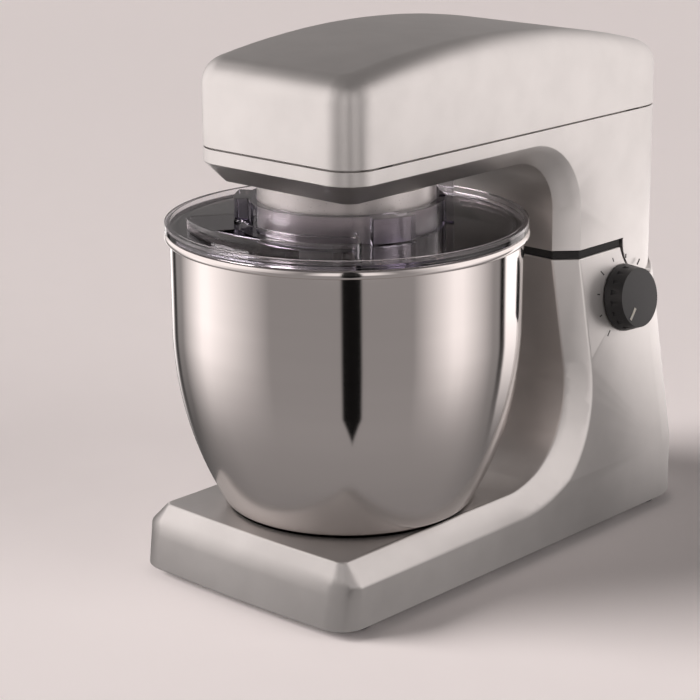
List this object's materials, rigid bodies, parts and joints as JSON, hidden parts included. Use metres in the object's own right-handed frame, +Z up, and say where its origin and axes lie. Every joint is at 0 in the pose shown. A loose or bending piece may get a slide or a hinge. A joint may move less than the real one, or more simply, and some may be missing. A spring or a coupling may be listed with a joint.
{
  "type": "stand mixer",
  "caption": "Tilt-head stand mixer: chamfered base and pillar, bayonet-seated polished bowl, clear splash guard with feed chute, planetary beater drive, speed knob and head release.",
  "frame": {"origin": "on the table, under the middle of the overall box", "axes": "+Z up, -Y towards the front with the bowl, +X to the right of someone facing the front"},
  "size_m": [0.2412, 0.3826, 0.361],
  "materials": {
    "silver_paint": "satin metallic paint on die-cast aluminium",
    "steel_polished": "mirror-polished stainless steel",
    "steel": "plain machined steel",
    "clear_plastic": "clear moulded plastic",
    "skirt_metal": "light satin metal",
    "black_plastic": "fine-grained black plastic",
    "black_rubber": "black rubber",
    "nylon": "natural nylon",
    "grey_plastic": "grey moulded plastic",
    "copper": "enamelled copper wire",
    "laminated_steel": "stacked steel sheets",
    "bronze": "oil-soaked bronze",
    "carbon": "carbon",
    "cast_aluminium": "raw casting",
    "board_green": "circuit board"
  },
  "bodies": {
    "base": {"base_casing": "silver_paint", "pillar_casing": "silver_paint", "base_plate": "grey_plastic", "base_plate_screws": "steel", "rubber_feet": "black_rubber", "bowl_seat": "black_plastic", "bowl_seat_screws": "steel", "hinge_pin": "steel", "pillar_gasket": "black_rubber", "speed_control_board": "board_green", "speed_potentiometer": "grey_plastic", "cord_gland": "black_plastic", "terminal_block": "nylon"},
    "head": {"head_lower_casing": "silver_paint", "head_top_cover": "silver_paint", "head_cover_screws": "steel", "hinge_bushes": "bronze", "hub_skirt": "skirt_metal", "ring_gear": "steel", "gearbox_housing": "cast_aluminium", "gearbox_cover": "cast_aluminium", "gearbox_screws": "steel", "hub_bearings": "steel", "intermediate_bearings": "steel", "motor_stator": "laminated_steel", "field_coils": "copper", "motor_bottom_bracket": "black_plastic", "motor_top_bracket": "cast_aluminium", "motor_bearings": "steel", "carbon_brushes": "carbon", "motor_bolts": "steel", "drive_belt": "black_rubber", "splash_guard": "clear_plastic", "latch_keeper": "steel"},
    "hub": {"hub_shaft": "steel", "hub_carrier": "cast_aluminium", "hub_gear": "nylon", "hub_circlip": "steel", "tool_shaft_bushes": "bronze"},
    "tool": {"tool_shaft": "steel", "planet_pinion": "steel", "tool_cross_pin": "steel", "flat_beater": "cast_aluminium"},
    "intermediate": {"intermediate_shaft": "steel", "intermediate_pinion": "steel", "driven_pulley": "nylon"},
    "rotor": {"motor_shaft": "steel", "armature_core": "laminated_steel", "armature_windings": "copper", "commutator": "copper", "cooling_fan": "black_plastic", "motor_pulley": "steel"},
    "knob": {"speed_knob": "black_plastic", "knob_shaft": "steel"},
    "lever": {"release_lever": "black_plastic", "lever_shaft": "steel", "latch_hook": "steel"},
    "bowl": {"mixing_bowl": "steel_polished", "bowl_foot_ring": "steel_polished"}
  },
  "joints": [
    {"name": "head_tilt", "type": "hinge", "parent": "base", "child": "head", "pos_m": [0, 0.1653, 0.1985], "axis": [-1, 0, 0], "range_deg": [0, 45]},
    {"name": "hub_spin", "type": "hinge", "parent": "head", "child": "hub", "pos_m": [0, -0.0707, 0.254], "axis": [0, 0, 1], "continuous": true},
    {"name": "tool_spin", "type": "hinge", "parent": "hub", "child": "tool", "pos_m": [0, -0.10045, 0.254], "axis": [0, 0, 1], "continuous": true},
    {"name": "intermediate_spin", "type": "hinge", "parent": "head", "child": "intermediate", "pos_m": [0, -0.01445, 0.3], "axis": [0, 0, 1], "continuous": true},
    {"name": "rotor_spin", "type": "hinge", "parent": "head", "child": "rotor", "pos_m": [0, 0.1193, 0.28], "axis": [0, 0, 1], "continuous": true},
    {"name": "speed_knob", "type": "hinge", "parent": "base", "child": "knob", "pos_m": [0.0778, 0.1343, 0.16], "axis": [-0.9869, 0, -0.1611], "range_deg": [0, 270]},
    {"name": "head_release", "type": "hinge", "parent": "base", "child": "lever", "pos_m": [-0.036, 0.1253, 0.162], "axis": [-1, 0, 0], "range_deg": [0, 15]},
    {"name": "bowl_twist", "type": "hinge", "parent": "base", "child": "bowl", "pos_m": [0, -0.0707, 0.05], "axis": [0, 0, 1], "range_deg": [0, 25]}
  ],
  "couplings": [
    {"joint": "tool_spin", "follows": "hub_spin", "ratio": -3.4286},
    {"joint": "intermediate_spin", "follows": "hub_spin", "ratio": -4},
    {"joint": "rotor_spin", "follows": "hub_spin", "ratio": -12}
  ]
}
